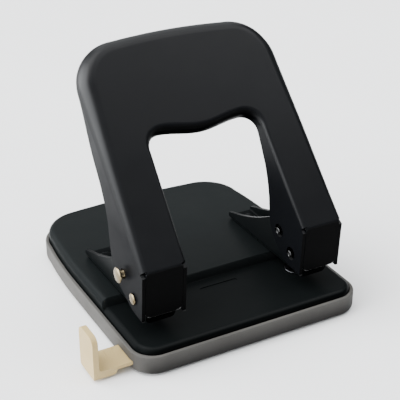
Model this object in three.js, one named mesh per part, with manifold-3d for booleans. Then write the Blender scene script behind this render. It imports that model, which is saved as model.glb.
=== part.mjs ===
// Two-hole desk punch with a long loop handle, a pressed steel base, a plastic
// chip tray underneath and a pull-out paper guide. Millimetres, +Z up.
// X runs from left to right, Y runs from the paper side (front) to the rear,
// and the origin is the middle of the tray's underside on the table.
import * as THREE from 'three';
import { mergeVertices } from 'three/addons/utils/BufferGeometryUtils.js';
import Module from 'manifold-3d';

const wasm = await Module();
wasm.setup();

// ---------------------------------------------------------------- dimensions
const legCentre = 40;         // half of the 80 mm hole spacing
const gap = 0.3;              // clearance between touching pieces

// pressed base plate
const plateHalfWidth = 56.15;
const plateFrontY = -64.5;
const plateRearY = 65.3;
const plateSheet = 1.5;
const plateEdgeRadius = 3.0;
const plateRimBottom = 7.6;
const tableZ = 12.1;          // paper table in front
const plateauZ = 16.0;        // raised rear deck that carries the brackets
const stepTopY = -21.2;
const paperStopY = -23.4;     // foot of the step, where the paper edge stops
const punchY = paperStopY - 12;

// chip tray
const trayOut = 2.0;          // how far the tray stands out past the plate
const trayPocket = 1.2;       // the tray's inner walls, inside the plate's outline
const trayTop = 9.5;
const trayLedge = 7.3;        // the plate's rim rests on this ledge
const trayFloor = 1.8;
const trayEdgeRadius = 2.2;

// brackets and pivots, in the Y-Z plane
const bracketHalfWidth = 7.3;
const bracketSheet = 1.8;
const webBottom = plateauZ + gap;
const webTop = webBottom + bracketSheet;
const bracketFrontY = -50;
const bracketRearY = 16.2;
const fulcrum = new THREE.Vector2(-46.2, 28.4);
const drivePoint = new THREE.Vector2(-35.9, 35.6);
const pinRadius = 2.1;
const handleSwing = THREE.MathUtils.degToRad(36);

// handle pressing
const handleSheet = 1.6;
const legHalfWidth = 10.7;
const legSplay = 0.4;         // the handle's legs sit this much outside the punches
const faceAngle = THREE.MathUtils.degToRad(48.1);
const knee = new THREE.Vector2(-55.9, 45.3);
const flangeTip = new THREE.Vector2(-54.2, 20.8);
const faceLength = 107.0;
const faceTaper = 0.016;      // each side leans in this much per millimetre
const faceCornerRadius = 19.5;
const faceEdgeRadius = 3.2;
const windowCornerRadius = 8;
const windowTop = 59.8;
const windowDip = 3.0;        // the window's top edge bulges down by this much
const flapSlit = 0.6;
const flapCornerRadius = 1.5;

// punches
const punchRadius = 2.75;
const punchTipZ = 16.9;
const headHalfWidth = 4.8;
const headBottom = 30.8;
const slotSlack = 0.45;

// paper guide
const guideFrontY = -57.6;
const guideRearY = -43.0;
const guideBarBottom = 3.2;
const guideBarTop = 4.7;
const guideBarEndX = 30;
const guideTabOuterX = -76;
const guideTabThickness = 2.6;
const guideTabTop = 21.8;
const guideFootBottom = 1.1;
const guideFootLength = 8.4;

// ----------------------------------------------------------------- materials
const paint = (color, roughness) => new THREE.MeshStandardMaterial({ color, roughness, metalness: 0.2 });
const metal = (color, roughness) => new THREE.MeshStandardMaterial({ color, roughness, metalness: 1 });
const plastic = (color) => new THREE.MeshStandardMaterial({ color, roughness: 0.6, metalness: 0 });
const materials = {
  handle: paint(0x1b1d20, 0.45),
  base: paint(0x161b1a, 0.45),
  bracket: paint(0x15191a, 0.5),
  tray: plastic(0x8f8b86),
  guide: plastic(0xd9ceb2),
  brass: metal(0xc9b27c, 0.3),
  steel: metal(0x85888c, 0.35),
  toolSteel: metal(0x4a4c50, 0.35),
};

// ------------------------------------------------------------ solid geometry
function toSolid(geometry) {
  const bare = geometry.clone();
  bare.deleteAttribute('normal');
  bare.deleteAttribute('uv');
  const merged = mergeVertices(bare, 1e-4);
  const mesh = new wasm.Mesh({
    numProp: 3,
    vertProperties: Float32Array.from(merged.attributes.position.array),
    triVerts: Uint32Array.from(merged.index.array),
  });
  return new wasm.Manifold(mesh);
}

function toGeometry(solid) {
  const mesh = solid.getMesh();
  const geometry = new THREE.BufferGeometry();
  geometry.setAttribute('position', new THREE.BufferAttribute(Float32Array.from(mesh.vertProperties), 3));
  geometry.setIndex(new THREE.BufferAttribute(Uint32Array.from(mesh.triVerts), 1));
  return geometry;
}

function box(low, high) {
  const size = high.map((value, i) => value - low[i]);
  const geometry = new THREE.BoxGeometry(...size);
  geometry.translate(...low.map((value, i) => value + size[i] / 2));
  return toSolid(geometry);
}

// A cylinder along X centred at y, z.
function rodX(radius, x0, x1, y, z, segments = 20) {
  const geometry = new THREE.CylinderGeometry(radius, radius, x1 - x0, segments);
  geometry.rotateZ(Math.PI / 2);
  geometry.translate((x0 + x1) / 2, y, z);
  return toSolid(geometry);
}

// A cylinder along Z centred at x, y.
function rodZ(radius, z0, z1, x = 0, y = 0, segments = 20) {
  const geometry = new THREE.CylinderGeometry(radius, radius, z1 - z0, segments);
  geometry.rotateX(Math.PI / 2);
  geometry.translate(x, y, (z0 + z1) / 2);
  return toSolid(geometry);
}

// A body of revolution along Z from a list of [radius, z] points.
function turned(profile, segments = 20) {
  const points = profile.map(([r, z]) => new THREE.Vector2(r, z));
  const geometry = new THREE.LatheGeometry(points, segments);
  geometry.rotateX(Math.PI / 2);
  return geometry;
}

function extruded(shape, depth, curveSegments = 4) {
  return new THREE.ExtrudeGeometry(shape, { depth, bevelEnabled: false, curveSegments });
}

// A profile drawn in (y, z) and extruded along X from x0 to x1.
function prismX(shape, x0, x1, curveSegments = 4) {
  const geometry = extruded(shape, x1 - x0, curveSegments);
  const basis = new THREE.Matrix4().makeBasis(
    new THREE.Vector3(0, 1, 0), new THREE.Vector3(0, 0, 1), new THREE.Vector3(1, 0, 0));
  geometry.applyMatrix4(basis);
  geometry.translate(x0, 0, 0);
  return toSolid(geometry);
}

// A slab whose top edge is rounded, over an outline in the X-Y plane.
function roundedSlab(shape, z0, z1, radius) {
  const geometry = new THREE.ExtrudeGeometry(shape, {
    depth: z1 - z0, bevelThickness: radius, bevelSize: radius, bevelOffset: -radius,
    bevelSegments: 4, curveSegments: 4,
  });
  geometry.translate(0, 0, z0 - radius);
  const reach = 200;
  return toSolid(geometry).intersect(box([-reach, -reach, z0], [reach, reach, z1 + 1]));
}

function union(solids) {
  return solids.reduce((sum, solid) => sum.add(solid));
}

// ----------------------------------------------------------------- assembly
const group = new THREE.Group();
const legs = { left: new THREE.Group(), right: new THREE.Group() };
legs.left.position.x = -legCentre;
legs.right.position.x = legCentre;
group.add(legs.left, legs.right);

function addMesh(name, shape, material, parent = group) {
  const geometry = shape.isBufferGeometry ? shape : toGeometry(shape);
  const mesh = new THREE.Mesh(geometry, material);
  mesh.name = name;
  parent.add(mesh);
  return mesh;
}

// ------------------------------------------------------------ base and tray
// The base outline, moved in by inset: small front corners, large rear
// corners, sides that close in a little towards the rear and a bowed rear edge.
function baseOutline(inset) {
  const front = plateFrontY + inset;
  const half = plateHalfWidth - inset;
  const rearHalf = half - 2.4;
  const frontRadius = 9.8 - inset;
  const rearRadius = 19.5 - inset;
  const rearBow = 1.4;
  const rear = plateRearY - rearBow - inset;
  const straightEndY = 6;
  const shape = new THREE.Shape();
  shape.moveTo(-half + frontRadius, front);
  shape.lineTo(half - frontRadius, front);
  shape.absarc(half - frontRadius, front + frontRadius, frontRadius, -Math.PI / 2, 0);
  shape.lineTo(half, straightEndY);
  shape.quadraticCurveTo(half, straightEndY + 20, rearHalf, rear - rearRadius);
  shape.absarc(rearHalf - rearRadius, rear - rearRadius, rearRadius, 0, Math.PI / 2);
  shape.quadraticCurveTo(0, rear + 2 * rearBow, -rearHalf + rearRadius, rear);
  shape.absarc(-rearHalf + rearRadius, rear - rearRadius, rearRadius, Math.PI / 2, Math.PI);
  shape.quadraticCurveTo(-half, straightEndY + 20, -half, straightEndY);
  shape.lineTo(-half, front + frontRadius);
  shape.absarc(-half + frontRadius, front + frontRadius, frontRadius, Math.PI, 1.5 * Math.PI);
  return shape;
}

// Everything behind the sloped step, moved back by inset.
function behindStep(inset) {
  const slope = (stepTopY - paperStopY) / (plateauZ - tableZ);
  const shape = new THREE.Shape();
  const footY = paperStopY + inset;
  shape.moveTo(footY - slope * tableZ, 0);
  shape.lineTo(100, 0);
  shape.lineTo(100, 40);
  shape.lineTo(footY + slope * (40 - tableZ), 40);
  return prismX(shape, -100, 100);
}

function plateForm(inset) {
  const radius = plateEdgeRadius - inset;
  const bottom = inset > 0 ? 0 : plateRimBottom;
  const outline = baseOutline(inset);
  const table = roundedSlab(outline, bottom, tableZ - inset, radius);
  const deck = roundedSlab(outline, bottom, plateauZ - inset, radius);
  return table.add(deck.intersect(behindStep(inset)));
}

const dieBodyRadius = 5;
const dieFlangeRadius = 6.5;
const rivetYs = [-12, 8];
const rivetRadius = 2;

function basePlate() {
  const cuts = [plateForm(plateSheet)];
  for (const x of [-legCentre, legCentre]) {
    cuts.push(rodZ(dieBodyRadius + gap, 0, tableZ + 1, x, punchY));
    for (const y of rivetYs) cuts.push(rodZ(rivetRadius + gap, 0, plateauZ + 1, x, y, 16));
  }
  const markHalfLength = 9.5;
  const markY = paperStopY - 7.6;
  cuts.push(box([-markHalfLength, markY - 0.45, tableZ - 0.5], [markHalfLength, markY + 0.45, tableZ + 1]));
  return plateForm(0).subtract(union(cuts));
}
addMesh('base_plate', basePlate(), materials.base);

function chipTray() {
  const turnedOver = roundedSlab(baseOutline(-trayOut), -trayTop, 0, trayEdgeRadius);
  const body = turnedOver.mirror([0, 0, 1]);
  const pocket = toSolid(extruded(baseOutline(trayPocket), trayTop)).translate([0, 0, trayFloor]);
  const rebate = toSolid(extruded(baseOutline(-gap), trayTop)).translate([0, 0, trayLedge]);
  const slotLow = [-70, guideFrontY - gap, guideBarBottom - gap];
  const slotHigh = [-plateHalfWidth + 6, guideRearY + gap, guideBarTop + gap];
  let tray = body.subtract(union([pocket, rebate, box(slotLow, slotHigh)]));
  // two rails beside the guide bar and three cross ribs that carry it
  const railX = [-46, 32];
  const railTop = guideBarTop + 0.6;
  for (const y of [guideFrontY - gap - 1.4, guideRearY + gap]) {
    tray = tray.add(box([railX[0], y, trayFloor - 0.2], [railX[1], y + 1.4, railTop]));
  }
  for (const x of [-36, 0, 28]) {
    const low = [x, guideFrontY - gap - 0.7, trayFloor - 0.2];
    tray = tray.add(box(low, [x + 1.6, guideRearY + gap + 0.7, guideBarBottom - gap]));
  }
  return tray;
}
addMesh('chip_tray', chipTray(), materials.tray);

// -------------------------------------------------------------- paper guide
function paperGuide() {
  const tabInnerX = guideTabOuterX + guideTabThickness;
  const corner = 3.4;
  const tab = new THREE.Shape();
  tab.moveTo(guideFrontY, guideFootBottom);
  tab.lineTo(guideRearY - 1.2, guideFootBottom);
  tab.lineTo(guideRearY, guideFootBottom + 1.2);
  tab.lineTo(guideRearY, guideTabTop - corner);
  tab.absarc(guideRearY - corner, guideTabTop - corner, corner, 0, Math.PI / 2);
  tab.lineTo(guideFrontY + corner, guideTabTop);
  tab.absarc(guideFrontY + corner, guideTabTop - corner, corner, Math.PI / 2, Math.PI);
  const bar = box([tabInnerX - 1, guideFrontY, guideBarBottom], [guideBarEndX, guideRearY, guideBarTop]);
  const foot = new THREE.Shape();
  foot.moveTo(tabInnerX - 1, guideFootBottom);
  foot.lineTo(tabInnerX + guideFootLength - 2, guideFootBottom);
  foot.absarc(tabInnerX + guideFootLength - 2, guideFootBottom + 2, 2, -Math.PI / 2, 0);
  foot.lineTo(tabInnerX + guideFootLength, guideBarTop - 0.5);
  foot.lineTo(tabInnerX - 1, guideBarTop - 0.5);
  const footGeometry = extruded(foot, guideRearY - guideFrontY);
  footGeometry.rotateX(Math.PI / 2);
  footGeometry.translate(0, guideRearY, 0);
  return union([prismX(tab, guideTabOuterX, tabInnerX), bar, toSolid(footGeometry)]);
}
addMesh('paper_guide', paperGuide(), materials.guide);

// ----------------------------------------------------------------- brackets
const drive = drivePoint.clone().sub(fulcrum);
const driveRadius = drive.length();
const driveAngle = Math.atan2(drive.y, drive.x);

// The arc slot that lets the drive pin swing about the fulcrum.
function driveSlot() {
  const halfHeight = pinRadius + gap + 0.15;
  const inner = driveRadius - halfHeight;
  const outer = driveRadius + halfHeight;
  const high = driveAngle + 0.03;
  const low = driveAngle - handleSwing - 0.03;
  const shape = new THREE.Shape();
  shape.absarc(fulcrum.x, fulcrum.y, outer, low, high);
  const top = new THREE.Vector2(driveRadius, 0).rotateAround(new THREE.Vector2(), high).add(fulcrum);
  shape.absarc(top.x, top.y, halfHeight, high, high + Math.PI);
  shape.absarc(fulcrum.x, fulcrum.y, inner, high, low, true);
  const end = new THREE.Vector2(driveRadius, 0).rotateAround(new THREE.Vector2(), low).add(fulcrum);
  shape.absarc(end.x, end.y, halfHeight, low + Math.PI, low + 2 * Math.PI);
  return prismX(shape, -20, 20, 3);
}

// The bracket's side: a long tail on the deck, a shoulder that carries the
// drive slot and a round nose about the fulcrum.
function bracketSide() {
  const noseRadius = 6.2;
  const shoulderTop = 41.6;
  const shape = new THREE.Shape();
  shape.moveTo(bracketFrontY, webBottom);
  shape.lineTo(bracketRearY, webBottom);
  shape.lineTo(bracketRearY, webBottom + 2.6);
  shape.quadraticCurveTo(bracketRearY, webBottom + 4, bracketRearY - 1.6, webBottom + 4.4);
  shape.quadraticCurveTo(-6, 26.0, -22, 35.6);
  shape.lineTo(-28.5, shoulderTop - 1.2);
  shape.quadraticCurveTo(-29.6, shoulderTop, -31.5, shoulderTop);
  shape.lineTo(-40.5, shoulderTop);
  const noseStart = THREE.MathUtils.degToRad(118);
  const noseEnd = THREE.MathUtils.degToRad(232);
  shape.absarc(fulcrum.x, fulcrum.y, noseRadius, noseStart, noseEnd);
  shape.lineTo(bracketFrontY, webTop);
  return shape;
}

function bracket() {
  const sideWalls = prismX(bracketSide(), -bracketHalfWidth, bracketHalfWidth);
  const bend = 2.6;
  const section = (half, bottom, radius) => {
    const shape = new THREE.Shape();
    shape.moveTo(-half + radius, bottom);
    shape.lineTo(half - radius, bottom);
    shape.absarc(half - radius, bottom + radius, radius, -Math.PI / 2, 0);
    shape.lineTo(half, 60);
    shape.lineTo(-half, 60);
    shape.lineTo(-half, bottom + radius);
    shape.absarc(-half + radius, bottom + radius, radius, Math.PI, 1.5 * Math.PI);
    const geometry = extruded(shape, 100);
    geometry.rotateX(Math.PI / 2);
    geometry.translate(0, 50, 0);
    return toSolid(geometry);
  };
  const outer = section(bracketHalfWidth, webBottom, bend);
  const inner = section(bracketHalfWidth - bracketSheet, webTop, bend - bracketSheet);
  const cuts = [
    inner,
    driveSlot(),
    rodX(pinRadius + gap, -20, 20, fulcrum.x, fulcrum.y),
    rodZ(punchRadius + 0.35, 0, 60, 0, punchY),
  ];
  for (const y of rivetYs) cuts.push(rodZ(rivetRadius + gap, 0, 30, 0, y, 16));
  return sideWalls.intersect(outer).subtract(union(cuts));
}

const bracketGeometry = toGeometry(bracket());
for (const [side, leg] of Object.entries(legs)) {
  addMesh(`${side}_bracket`, bracketGeometry, materials.bracket, leg);
}

// Rivets that hold each bracket down on the deck: a domed head above the
// web and a flat closed head under the plate.
function rivet() {
  const headBase = webTop + gap;
  const tailTop = plateauZ - plateSheet - gap;
  const profile = [
    [0, tailTop - 1], [2.8, tailTop - 1], [2.9, tailTop], [rivetRadius, tailTop], [rivetRadius, headBase],
    [3.4, headBase], [3.2, headBase + 0.7], [2.3, headBase + 1.2], [0, headBase + 1.5],
  ];
  return turned(profile, 16);
}
const rivetPlaces = { front: rivetYs[0], rear: rivetYs[1] };
for (const [side, leg] of Object.entries(legs)) {
  for (const [place, y] of Object.entries(rivetPlaces)) {
    addMesh(`${side}_${place}_rivet`, rivet(), materials.bracket, leg).position.y = y;
  }
}

// Hardened die rings under the punches, flush with the paper table.
function die() {
  const boreRadius = punchRadius + 0.2;
  const flangeTop = tableZ - plateSheet - gap;
  const profile = [
    [boreRadius, 8.4], [dieFlangeRadius, 8.4], [dieFlangeRadius, flangeTop], [dieBodyRadius, flangeTop],
    [dieBodyRadius, tableZ], [boreRadius, tableZ], [boreRadius, 8.4],
  ];
  return turned(profile);
}
for (const [side, leg] of Object.entries(legs)) {
  addMesh(`${side}_die`, die(), materials.toolSteel, leg).position.y = punchY;
}

// ------------------------------------------------------------------ punches
// How far the drive pin travels along Y and Z over the whole swing.
const driveEnd = new THREE.Vector2(driveRadius, 0)
  .rotateAround(new THREE.Vector2(), driveAngle - handleSwing).add(fulcrum);

// A round punch with a slotted head that the drive pin pushes down.
function punch() {
  const slotFront = Math.min(drivePoint.x, driveEnd.x) - punchY;
  const slotRear = fulcrum.x + driveRadius - punchY;
  const slotHalf = pinRadius + slotSlack;
  const slotZ = drivePoint.y;
  const wall = 2.1;
  const head = new THREE.Shape();
  const headTopRadius = slotHalf + wall;
  head.moveTo(slotFront - headTopRadius, headBottom);
  head.lineTo(slotRear + headTopRadius, headBottom);
  head.absarc(slotRear, slotZ, headTopRadius, 0, Math.PI / 2);
  head.absarc(slotFront, slotZ, headTopRadius, Math.PI / 2, Math.PI);
  const slot = new THREE.Path();
  slot.absarc(slotRear, slotZ, slotHalf, -Math.PI / 2, Math.PI / 2);
  slot.absarc(slotFront, slotZ, slotHalf, Math.PI / 2, 1.5 * Math.PI);
  head.holes.push(slot);
  const rod = rodZ(punchRadius, punchTipZ, headBottom + 1);
  return prismX(head, -headHalfWidth, headHalfWidth).add(rod);
}

const washerThickness = 0.7;
const washerBottom = headBottom - gap - washerThickness;
function springWasher() {
  const inner = punchRadius + gap;
  const outer = 5.2;
  const top = washerBottom + washerThickness;
  const profile = [[inner, washerBottom], [outer, washerBottom], [outer, top], [inner, top], [inner, washerBottom]];
  return turned(profile);
}

// The punch's return spring, a wire wound on a helix by a loop.
class Helix extends THREE.Curve {
  constructor(radius, z0, z1, turns) {
    super();
    Object.assign(this, { radius, z0, z1, turns });
  }

  getPoint(t) {
    const angle = 2 * Math.PI * this.turns * t;
    const z = this.z0 + (this.z1 - this.z0) * t;
    return new THREE.Vector3(this.radius * Math.cos(angle), this.radius * Math.sin(angle), z);
  }
}

function returnSpring() {
  const wireRadius = 0.5;
  const coilRadius = 4.4;
  const turns = 3.25;
  const path = new Helix(coilRadius, webTop + gap + wireRadius, washerBottom - gap - wireRadius, turns);
  const section = new THREE.Shape().absarc(0, 0, wireRadius, 0, 2 * Math.PI);
  return new THREE.ExtrudeGeometry(section, {
    steps: Math.round(turns * 14), curveSegments: 3, bevelEnabled: false, extrudePath: path,
  });
}

for (const [side, leg] of Object.entries(legs)) {
  addMesh(`${side}_punch`, punch(), materials.toolSteel, leg).position.y = punchY;
  addMesh(`${side}_spring_washer`, springWasher(), materials.steel, leg).position.y = punchY;
  addMesh(`${side}_punch_spring`, returnSpring(), materials.steel, leg).position.y = punchY;
}

// ------------------------------------------------------------------- handle
const along = new THREE.Vector2(Math.cos(faceAngle), Math.sin(faceAngle));
const inward = new THREE.Vector2(Math.sin(faceAngle), -Math.cos(faceAngle));

// A point in the Y-Z plane, s along the face from the knee and h behind it.
function facePoint(s, h) {
  return knee.clone().addScaledVector(along, s).addScaledVector(inward, h);
}

// The face seen square on, as (x, s): a tall arch with a window that is open
// at the bottom between the two legs. Moving it in by inset thins both.
function faceOutline(inset) {
  const bottom = -50;
  const outerHalf = (s) => legCentre + legSplay + legHalfWidth - faceTaper * s - inset;
  const windowHalf = legCentre + legSplay - legHalfWidth + inset;
  const radius = faceCornerRadius - inset;
  const top = faceLength - inset;
  const shoulderS = top - radius;
  const topHalf = outerHalf(shoulderS) - radius;
  const cornerS = windowTop + inset - windowCornerRadius - inset;
  const cornerX = windowHalf - windowCornerRadius - inset;
  const windowRadius = windowCornerRadius + inset;
  const shape = new THREE.Shape();
  shape.moveTo(windowHalf, bottom);
  shape.lineTo(outerHalf(bottom), bottom);
  shape.lineTo(outerHalf(shoulderS), shoulderS);
  shape.absarc(topHalf, shoulderS, radius, 0, Math.PI / 2);
  shape.absarc(-topHalf, shoulderS, radius, Math.PI / 2, Math.PI);
  shape.lineTo(-outerHalf(bottom), bottom);
  shape.lineTo(-windowHalf, bottom);
  shape.absarc(-cornerX, cornerS, windowRadius, Math.PI, Math.PI / 2, true);
  const waveSteps = 12;
  for (let i = 1; i < waveSteps; i += 1) {
    const x = cornerX * (2 * i / waveSteps - 1);
    const dip = windowDip * (1 + Math.cos(Math.PI * x / cornerX)) / 2;
    shape.lineTo(x, windowTop + inset - dip);
  }
  shape.absarc(cornerX, cornerS, windowRadius, Math.PI / 2, 0, true);
  return shape;
}

// The face outline as a deep block with rounded front edges, sheet below the face.
function faceBlock(inset) {
  const depth = 60;
  const radius = faceEdgeRadius - inset;
  const geometry = new THREE.ExtrudeGeometry(faceOutline(inset), {
    depth, bevelThickness: radius, bevelSize: radius, bevelOffset: -radius,
    bevelSegments: 3, curveSegments: 4,
  });
  geometry.translate(0, 0, -depth - radius - inset);
  const basis = new THREE.Matrix4().makeBasis(
    new THREE.Vector3(1, 0, 0),
    new THREE.Vector3(0, along.x, along.y),
    new THREE.Vector3(0, -inward.x, -inward.y));
  geometry.applyMatrix4(basis);
  geometry.translate(0, knee.x, knee.y);
  return toSolid(geometry);
}

// The flanges seen from the side, as (y, z): rear edge from the top down to
// the corner over the deck, then the lower edge forward to the tip.
function flangeSide(rearEdge, lowCorner) {
  const top = facePoint(faceLength + 5, rearEdge[0][1]);
  const shape = new THREE.Shape();
  shape.moveTo(flangeTip.x, flangeTip.y);
  shape.lineTo(knee.x, knee.y);
  const front = facePoint(faceLength + 5, -1);
  const kneeFront = facePoint(0, -1);
  shape.lineTo(kneeFront.x, kneeFront.y + 0.5);
  shape.lineTo(front.x, front.y);
  shape.lineTo(top.x, top.y);
  shape.splineThru(rearEdge.map(([s, h]) => facePoint(s, h)));
  shape.quadraticCurveTo(lowCorner[0], lowCorner[1] - 3.2, lowCorner[0] - 3, lowCorner[1] - 4.6);
  shape.lineTo(-41.2, 23.2);
  shape.quadraticCurveTo(-43.2, 21.7, -46, 21.4);
  return shape;
}

// The flap that closes the front of each leg below the knee, bent down from
// the face, free of the flanges at both sides and rounded at its lower corners.
function flap() {
  const half = legHalfWidth - handleSheet - flapSlit;
  const down = flangeTip.clone().sub(knee).normalize();
  const back = new THREE.Vector2(-down.y, down.x).multiplyScalar(handleSheet);
  const end = flangeTip.clone().addScaledVector(down, -0.4);
  const root = knee.clone().sub(down).add(back);
  const side = new THREE.Shape([knee, end, end.clone().add(back), root]);
  const r = flapCornerRadius;
  const front = new THREE.Shape();
  front.moveTo(-half, 60);
  front.lineTo(-half, end.y + r);
  front.absarc(-half + r, end.y + r, r, Math.PI, 1.5 * Math.PI);
  front.absarc(half - r, end.y + r, r, -Math.PI / 2, 0);
  front.lineTo(half, 60);
  const frontGeometry = extruded(front, 40);
  frontGeometry.rotateX(Math.PI / 2);
  frontGeometry.translate(0, knee.x + 20, 0);
  return prismX(side, -half - 1, half + 1).intersect(toSolid(frontGeometry));
}

function handle() {
  const zoneSplit = legCentre;
  const outerRear = [[faceLength, 6.5], [92, 6.5], [82, 7.4], [70, 11], [56, 14.2], [40, 16.8], [31, 19.6], [20, 26.4], [13.5, 29.8]];
  const innerRear = [[faceLength, 6.5], [92, 6], [62, 5], [52, 6.4], [43, 9.4], [30, 14.3], [20, 20.8], [13.5, 25.6]];
  const outerSide = flangeSide(outerRear, [-25.4, 34.4]);
  const innerSide = flangeSide(innerRear, [-28.4, 36.4]);
  const zones = union([
    prismX(outerSide, -70, -zoneSplit),
    prismX(innerSide, -zoneSplit - 0.01, zoneSplit + 0.01),
    prismX(outerSide, zoneSplit, 70),
  ]);
  let body = faceBlock(0).subtract(faceBlock(handleSheet)).intersect(zones);
  const holeRadius = pinRadius + gap;
  const slitTop = knee.y - 1.2;
  for (const side of [-1, 1]) {
    const centre = side * (legCentre + legSplay);
    body = body.add(flap().translate([centre, 0, 0]));
    for (const edge of [-1, 1]) {
      const slitX = centre + edge * (legHalfWidth - handleSheet - flapSlit / 2);
      const half = flapSlit / 2;
      body = body.subtract(box([slitX - half, -60, 10], [slitX + half, knee.x + 4, slitTop]));
    }
    for (const point of [fulcrum, drivePoint]) {
      body = body.subtract(rodX(holeRadius, centre - 15, centre + 15, point.x, point.y));
    }
  }
  return body;
}
addMesh('handle', handle(), materials.handle);

// --------------------------------------------------------------------- pins
// Pins are turned about Z and then laid along X, with the head outward.
function layPin(geometry, side, point, leg, name, material) {
  geometry.rotateY(side === 'left' ? -Math.PI / 2 : Math.PI / 2);
  const mesh = addMesh(name, geometry, material, leg);
  mesh.position.set(side === 'left' ? -legSplay : legSplay, point.x, point.y);
}

const pinTail = -legHalfWidth - 1;
function shortPin() {
  const seat = legHalfWidth + gap;
  return turned([
    [0, pinTail], [pinRadius - 0.5, pinTail], [pinRadius, pinTail + 0.5], [pinRadius, seat],
    [2.75, seat], [2.65, seat + 0.5], [1.9, seat + 0.95], [0, seat + 1.15],
  ]);
}

// The left drive pin is the handle lock too: its large knob stands off the
// flange on a slim neck and can be pushed in.
const lockTravel = 1.9;
const lockGroove = 1.4;
const clipOffset = -legHalfWidth - gap;
function lockPin() {
  const neckRadius = 1.5;
  const knobSeat = legHalfWidth + gap + lockTravel;
  return turned([
    [0, clipOffset - 3.4], [pinRadius - 0.5, clipOffset - 3.4], [pinRadius, clipOffset - 2.8],
    [pinRadius, clipOffset - 1.9], [lockGroove, clipOffset - 1.9], [lockGroove, clipOffset - 0.7],
    [pinRadius, clipOffset - 0.7], [pinRadius, legHalfWidth - 0.4], [neckRadius, legHalfWidth - 0.2],
    [neckRadius, knobSeat], [3.5, knobSeat], [3.7, knobSeat + 0.5], [3.5, knobSeat + 1.2],
    [2.3, knobSeat + 1.9], [0, knobSeat + 2.2],
  ]);
}

for (const [side, leg] of Object.entries(legs)) {
  layPin(shortPin(), side, fulcrum, leg, `${side}_fulcrum_pin`, materials.brass);
}
layPin(shortPin(), 'right', drivePoint, legs.right, 'right_drive_pin', materials.brass);
layPin(lockPin(), 'left', drivePoint, legs.left, 'lock_pin', materials.brass);

// Spring clip in the groove at the lock pin's inner end.
function lockClip() {
  const thickness = 0.6;
  const outer = 4.0;
  const inner = lockGroove + gap;
  const ring = new THREE.Shape();
  const mouth = 0.55;
  ring.absarc(0, 0, outer, mouth, 2 * Math.PI - mouth);
  ring.absarc(0, 0, inner, 2 * Math.PI - mouth, mouth, true);
  const geometry = extruded(ring, thickness, 10);
  geometry.translate(0, 0, clipOffset - 1.6);
  return geometry;
}
layPin(lockClip(), 'left', drivePoint, legs.left, 'lock_pin_clip', materials.steel);

export default group;
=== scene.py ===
"""Two-hole desk punch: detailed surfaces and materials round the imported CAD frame."""

import math

import bmesh
import bpy
from mathutils import Matrix, Vector


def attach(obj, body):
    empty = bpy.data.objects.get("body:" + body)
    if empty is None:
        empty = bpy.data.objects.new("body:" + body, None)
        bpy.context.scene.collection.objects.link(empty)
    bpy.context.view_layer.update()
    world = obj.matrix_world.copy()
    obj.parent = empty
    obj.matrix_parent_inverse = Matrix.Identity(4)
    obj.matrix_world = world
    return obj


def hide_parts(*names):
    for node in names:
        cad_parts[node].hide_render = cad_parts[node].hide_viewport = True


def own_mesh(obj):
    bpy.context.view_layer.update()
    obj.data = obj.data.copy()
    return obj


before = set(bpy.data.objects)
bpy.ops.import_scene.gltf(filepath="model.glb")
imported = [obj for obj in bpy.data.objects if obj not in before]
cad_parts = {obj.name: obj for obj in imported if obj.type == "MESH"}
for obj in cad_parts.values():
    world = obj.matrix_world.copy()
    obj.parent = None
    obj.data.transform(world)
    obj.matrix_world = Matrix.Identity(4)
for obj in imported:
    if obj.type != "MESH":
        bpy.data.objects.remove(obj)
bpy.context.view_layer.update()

MM = 0.001
PI = math.pi

# ---------------------------------------------------------------- dimensions, mm
PUNCH_X = 40.0               # the punches stand this far from the middle plane
PUNCH_Y = -35.4
PUNCH_RADIUS = 2.75
HEAD_BOTTOM = 30.8           # lower end of the punches' slotted heads

LEG_MIDDLE = PUNCH_X + 0.4   # the legs sit a little outside the punches
LEG_HALF = 10.7              # from a leg's middle to the outer faces of its flanges
SHEET = 1.6                  # handle sheet
FACE_ANGLE = math.radians(48.1)
KNEE = (-55.9, 45.3)         # y, z of the bend at the bottom of the face
TIP = (-54.2, 20.8)          # y, z of the flanges' lowest front corner
FULCRUM = (-46.2, 28.4)      # y, z of the pins that the handle turns on
DRIVE = (-35.9, 35.6)        # y, z of the pins that push the punches, the lock pin being the left one
PIN = 2.1                    # radius of the pins

PLATE_HALF = 56.15
PLATE_FRONT = -64.5
PLATE_REAR = 65.3
PLATE_SHEET = 1.5
PLATE_EDGE = 3.0             # radius of the edge between the top and the skirt
RIM_Z = 7.6                  # lower edge of the skirt
SKIRT_Z = 10.6               # top of the skirt beside the deck
SKIRT_DROP = 2.1             # and how much lower it ends beside the table
TABLE_Z = 12.1
DECK_Z = 16.0
STEP_Y = (-24.1, -22.0)      # foot and top of the step that stops the paper
DIE_HOLE = 5.3
RIVET_HOLE = 2.3
RIVET_Y = {"front": -12.0, "rear": 8.0}

TRAY_OUT = 2.0               # the tray's outer wall, outside the plate's outline
TRAY_POCKET = 1.2            # its inner wall, inside the plate's outline
TRAY_GAP = 0.3               # between its rim and the plate
TRAY_TOP = 9.5
TRAY_LEDGE = 7.3
TRAY_EDGE = 2.2
TRAY_FLOOR = 1.8
GUIDE_Y = (-57.6, -43.0)     # front and rear edges of the paper guide

WEB_BOTTOM = 16.3            # the brackets' webs lie just above the deck
WEB_TOP = 18.1
BRACKET_HALF = 7.3
BRACKET_SHEET = 1.8
WASHER = (HEAD_BOTTOM - 1.0, HEAD_BOTTOM - 0.3)    # z of the spring washers' two faces


# ---------------------------------------------------------------- lines and curves
def lerp(a, b, t):
    return a + (b - a) * t


def smooth(t):
    t = min(1.0, max(0.0, t))
    return t * t * (3 - 2 * t)


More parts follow.
